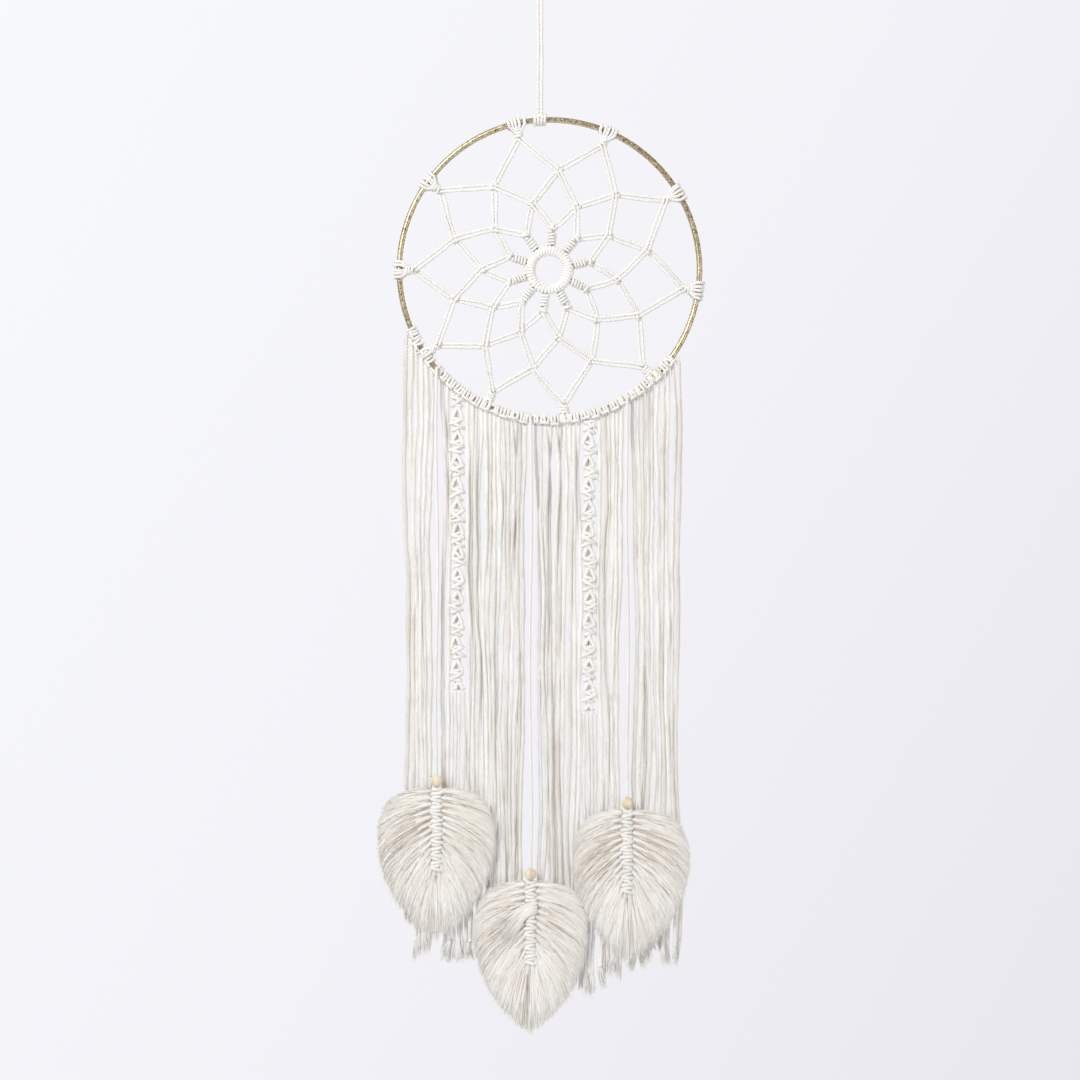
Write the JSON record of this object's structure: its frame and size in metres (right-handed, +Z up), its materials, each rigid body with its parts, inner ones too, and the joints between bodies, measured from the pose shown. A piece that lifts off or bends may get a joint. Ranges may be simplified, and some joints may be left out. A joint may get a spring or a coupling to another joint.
{
  "type": "dream catcher",
  "caption": "Macramé dream catcher: a gilt hoop with a knotted cord web, hanging fringe, knotted columns and cotton leaves on beaded cords.",
  "frame": {"origin": "where the nail bears inside the top of the hanging loop", "axes": "+Z up, +X to the right seen from the front, +Y away from the viewer"},
  "size_m": [0.2135, 0.0137, 0.7219],
  "materials": {
    "cotton_cord": "twisted off-white cotton cord",
    "leaf_cotton": "combed off-white cotton fibre",
    "gold_hoop": "satin antique gold",
    "bead_wood": "pale waxed wood"
  },
  "bodies": {
    "hanging_loop": {"hanging_loop": "cotton_cord"},
    "hanger": {"hanger_knot": "cotton_cord", "hanger_cord_left": "cotton_cord", "hanger_cord_right": "cotton_cord"},
    "hitch": {"hoop_hitch": "cotton_cord"},
    "hoop": {"hoop_ring": "gold_hoop", "web_anchor_hitches": "cotton_cord", "web_outer_spans": "cotton_cord", "web_outer_knots": "cotton_cord", "web_middle_spans": "cotton_cord", "web_middle_knots": "cotton_cord", "web_inner_spans": "cotton_cord", "web_inner_knots": "cotton_cord", "web_spoke_wraps": "cotton_cord", "centre_ring_wrap": "cotton_cord", "fringe_hitches": "cotton_cord", "centre_ring_core": "gold_hoop"},
    "leaf_left_cord": {"leaf_left_cord": "cotton_cord"},
    "leaf_left_bead": {"leaf_left_bead": "bead_wood"},
    "leaf_left": {"leaf_left_spine": "cotton_cord", "leaf_left_fan_left": "leaf_cotton", "leaf_left_fan_right": "leaf_cotton"},
    "leaf_middle_cord": {"leaf_middle_cord": "cotton_cord"},
    "leaf_middle_bead": {"leaf_middle_bead": "bead_wood"},
    "leaf_middle": {"leaf_middle_spine": "cotton_cord", "leaf_middle_fan_left": "leaf_cotton", "leaf_middle_fan_right": "leaf_cotton"},
    "leaf_right_cord": {"leaf_right_cord": "cotton_cord"},
    "leaf_right_bead": {"leaf_right_bead": "bead_wood"},
    "leaf_right": {"leaf_right_spine": "cotton_cord", "leaf_right_fan_left": "leaf_cotton", "leaf_right_fan_right": "leaf_cotton"},
    "sennit_left": {"sennit_left": "cotton_cord", "sennit_left_tails": "cotton_cord"},
    "sennit_right": {"sennit_right": "cotton_cord", "sennit_right_tails": "cotton_cord"},
    "fringe_cord_01": {"fringe_cord_01": "cotton_cord"},
    "fringe_cord_02": {"fringe_cord_02": "cotton_cord"},
    "fringe_cord_03": {"fringe_cord_03": "cotton_cord"},
    "fringe_cord_04": {"fringe_cord_04": "cotton_cord"},
    "fringe_cord_05": {"fringe_cord_05": "cotton_cord"},
    "fringe_cord_06": {"fringe_cord_06": "cotton_cord"},
    "fringe_cord_07": {"fringe_cord_07": "cotton_cord"},
    "fringe_cord_08": {"fringe_cord_08": "cotton_cord"},
    "fringe_cord_09": {"fringe_cord_09": "cotton_cord"},
    "fringe_cord_10": {"fringe_cord_10": "cotton_cord"},
    "fringe_cord_11": {"fringe_cord_11": "cotton_cord"},
    "fringe_cord_12": {"fringe_cord_12": "cotton_cord"},
    "fringe_cord_13": {"fringe_cord_13": "cotton_cord"},
    "fringe_cord_14": {"fringe_cord_14": "cotton_cord"},
    "fringe_cord_15": {"fringe_cord_15": "cotton_cord"},
    "fringe_cord_16": {"fringe_cord_16": "cotton_cord"},
    "fringe_cord_17": {"fringe_cord_17": "cotton_cord"},
    "fringe_cord_18": {"fringe_cord_18": "cotton_cord"},
    "fringe_cord_19": {"fringe_cord_19": "cotton_cord"},
    "fringe_cord_20": {"fringe_cord_20": "cotton_cord"},
    "fringe_cord_21": {"fringe_cord_21": "cotton_cord"},
    "fringe_cord_22": {"fringe_cord_22": "cotton_cord"},
    "fringe_cord_23": {"fringe_cord_23": "cotton_cord"},
    "fringe_cord_24": {"fringe_cord_24": "cotton_cord"}
  },
  "joints": [
    {"name": "hanger_swing", "type": "hinge", "parent": "hanging_loop", "child": "hanger", "pos_m": [0, 0, -0.034], "axis": [0, 1, 0], "range_deg": [-25, 25]},
    {"name": "hanger_twist", "type": "hinge", "parent": "hanger", "child": "hitch", "pos_m": [0, 0, -0.1204], "axis": [0, 0, 1], "continuous": true},
    {"name": "hoop_tilt", "type": "hinge", "parent": "hitch", "child": "hoop", "pos_m": [0, 0, -0.1251], "axis": [0.998, 0, 0.0632], "range_deg": [-45, 45]},
    {"name": "leaf_left_cord_swing", "type": "hinge", "parent": "hoop", "child": "leaf_left_cord", "pos_m": [-0.0673, -0.0056, -0.28797], "axis": [-1, 0, 0], "range_deg": [0, 45]},
    {"name": "leaf_middle_cord_swing", "type": "hinge", "parent": "hoop", "child": "leaf_middle_cord", "pos_m": [-0.0062, -0.0056, -0.32031], "axis": [-1, 0, 0], "range_deg": [0, 45]},
    {"name": "leaf_right_cord_swing", "type": "hinge", "parent": "hoop", "child": "leaf_right_cord", "pos_m": [0.0569, -0.0056, -0.30698], "axis": [-1, 0, 0], "range_deg": [0, 45]},
    {"name": "leaf_left_flap", "type": "hinge", "parent": "leaf_left_cord", "child": "leaf_left", "pos_m": [-0.0673, -0.0056, -0.5563], "axis": [-1, 0, 0], "range_deg": [0, 45]},
    {"name": "leaf_middle_flap", "type": "hinge", "parent": "leaf_middle_cord", "child": "leaf_middle", "pos_m": [-0.0062, -0.0056, -0.6171], "axis": [-1, 0, 0], "range_deg": [0, 45]},
    {"name": "leaf_right_flap", "type": "hinge", "parent": "leaf_right_cord", "child": "leaf_right", "pos_m": [0.0569, -0.0056, -0.5707], "axis": [-1, 0, 0], "range_deg": [0, 45]},
    {"name": "leaf_left_bead_spin", "type": "hinge", "parent": "leaf_left_cord", "child": "leaf_left_bead", "pos_m": [-0.0673, -0.0056, -0.5563], "axis": [0, 0, 1], "continuous": true},
    {"name": "leaf_middle_bead_spin", "type": "hinge", "parent": "leaf_middle_cord", "child": "leaf_middle_bead", "pos_m": [-0.0062, -0.0056, -0.6171], "axis": [0, 0, 1], "continuous": true},
    {"name": "leaf_right_bead_spin", "type": "hinge", "parent": "leaf_right_cord", "child": "leaf_right_bead", "pos_m": [0.0569, -0.0056, -0.5707], "axis": [0, 0, 1], "continuous": true},
    {"name": "sennit_left_swing", "type": "hinge", "parent": "hoop", "child": "sennit_left", "pos_m": [-0.0539, 0, -0.30855], "axis": [1, 0, 0], "range_deg": [0, 40]},
    {"name": "sennit_right_swing", "type": "hinge", "parent": "hoop", "child": "sennit_right", "pos_m": [0.0323, 0, -0.32377], "axis": [1, 0, 0], "range_deg": [0, 40]},
    {"name": "fringe_cord_01_swing", "type": "hinge", "parent": "hoop", "child": "fringe_cord_01", "pos_m": [-0.08555, 0, -0.2744], "axis": [1, 0, 0], "range_deg": [0, 40]},
    {"name": "fringe_cord_02_swing", "type": "hinge", "parent": "hoop", "child": "fringe_cord_02", "pos_m": [-0.07905, 0, -0.28441], "axis": [1, 0, 0], "range_deg": [0, 40]},
    {"name": "fringe_cord_03_swing", "type": "hinge", "parent": "hoop", "child": "fringe_cord_03", "pos_m": [-0.07255, 0, -0.2924], "axis": [1, 0, 0], "range_deg": [0, 40]},
    {"name": "fringe_cord_04_swing", "type": "hinge", "parent": "hoop", "child": "fringe_cord_04", "pos_m": [-0.06223, 0, -0.30231], "axis": [1, 0, 0], "range_deg": [0, 40]},
    {"name": "fringe_cord_05_swing", "type": "hinge", "parent": "hoop", "child": "fringe_cord_05", "pos_m": [-0.04576, 0, -0.31362], "axis": [1, 0, 0], "range_deg": [0, 40]},
    {"name": "fringe_cord_06_swing", "type": "hinge", "parent": "hoop", "child": "fringe_cord_06", "pos_m": [-0.03998, 0, -0.31661], "axis": [1, 0, 0], "range_deg": [0, 40]},
    {"name": "fringe_cord_07_swing", "type": "hinge", "parent": "hoop", "child": "fringe_cord_07", "pos_m": [-0.0342, 0, -0.31916], "axis": [1, 0, 0], "range_deg": [0, 40]},
    {"name": "fringe_cord_08_swing", "type": "hinge", "parent": "hoop", "child": "fringe_cord_08", "pos_m": [-0.02842, 0, -0.3213], "axis": [1, 0, 0], "range_deg": [0, 40]},
    {"name": "fringe_cord_09_swing", "type": "hinge", "parent": "hoop", "child": "fringe_cord_09", "pos_m": [-0.02265, 0, -0.32307], "axis": [1, 0, 0], "range_deg": [0, 40]},
    {"name": "fringe_cord_10_swing", "type": "hinge", "parent": "hoop", "child": "fringe_cord_10", "pos_m": [-0.01687, 0, -0.32447], "axis": [1, 0, 0], "range_deg": [0, 40]},
    {"name": "fringe_cord_11_swing", "type": "hinge", "parent": "hoop", "child": "fringe_cord_11", "pos_m": [-0.01109, 0, -0.32553], "axis": [1, 0, 0], "range_deg": [0, 40]},
    {"name": "fringe_cord_12_swing", "type": "hinge", "parent": "hoop", "child": "fringe_cord_12", "pos_m": [-0.00108, 0, -0.32659], "axis": [1, 0, 0], "range_deg": [0, 40]},
    {"name": "fringe_cord_13_swing", "type": "hinge", "parent": "hoop", "child": "fringe_cord_13", "pos_m": [0.00517, 0, -0.32675], "axis": [1, 0, 0], "range_deg": [0, 40]},
    {"name": "fringe_cord_14_swing", "type": "hinge", "parent": "hoop", "child": "fringe_cord_14", "pos_m": [0.01142, 0, -0.32669], "axis": [1, 0, 0], "range_deg": [0, 40]},
    {"name": "fringe_cord_15_swing", "type": "hinge", "parent": "hoop", "child": "fringe_cord_15", "pos_m": [0.01767, 0, -0.32627], "axis": [1, 0, 0], "range_deg": [0, 40]},
    {"name": "fringe_cord_16_swing", "type": "hinge", "parent": "hoop", "child": "fringe_cord_16", "pos_m": [0.02392, 0, -0.32548], "axis": [1, 0, 0], "range_deg": [0, 40]},
    {"name": "fringe_cord_17_swing", "type": "hinge", "parent": "hoop", "child": "fringe_cord_17", "pos_m": [0.04044, 0, -0.32143], "axis": [1, 0, 0], "range_deg": [0, 40]},
    {"name": "fringe_cord_18_swing", "type": "hinge", "parent": "hoop", "child": "fringe_cord_18", "pos_m": [0.04623, 0, -0.31931], "axis": [1, 0, 0], "range_deg": [0, 40]},
    {"name": "fringe_cord_19_swing", "type": "hinge", "parent": "hoop", "child": "fringe_cord_19", "pos_m": [0.05201, 0, -0.31679], "axis": [1, 0, 0], "range_deg": [0, 40]},
    {"name": "fringe_cord_20_swing", "type": "hinge", "parent": "hoop", "child": "fringe_cord_20", "pos_m": [0.06218, 0, -0.31138], "axis": [1, 0, 0], "range_deg": [0, 40]},
    {"name": "fringe_cord_21_swing", "type": "hinge", "parent": "hoop", "child": "fringe_cord_21", "pos_m": [0.06874, 0, -0.307], "axis": [1, 0, 0], "range_deg": [0, 40]},
    {"name": "fringe_cord_22_swing", "type": "hinge", "parent": "hoop", "child": "fringe_cord_22", "pos_m": [0.0753, 0, -0.30182], "axis": [1, 0, 0], "range_deg": [0, 40]},
    {"name": "fringe_cord_23_swing", "type": "hinge", "parent": "hoop", "child": "fringe_cord_23", "pos_m": [0.08186, 0, -0.2957], "axis": [1, 0, 0], "range_deg": [0, 40]},
    {"name": "fringe_cord_24_swing", "type": "hinge", "parent": "hoop", "child": "fringe_cord_24", "pos_m": [0.08842, 0, -0.28835], "axis": [1, 0, 0], "range_deg": [0, 40]}
  ]
}
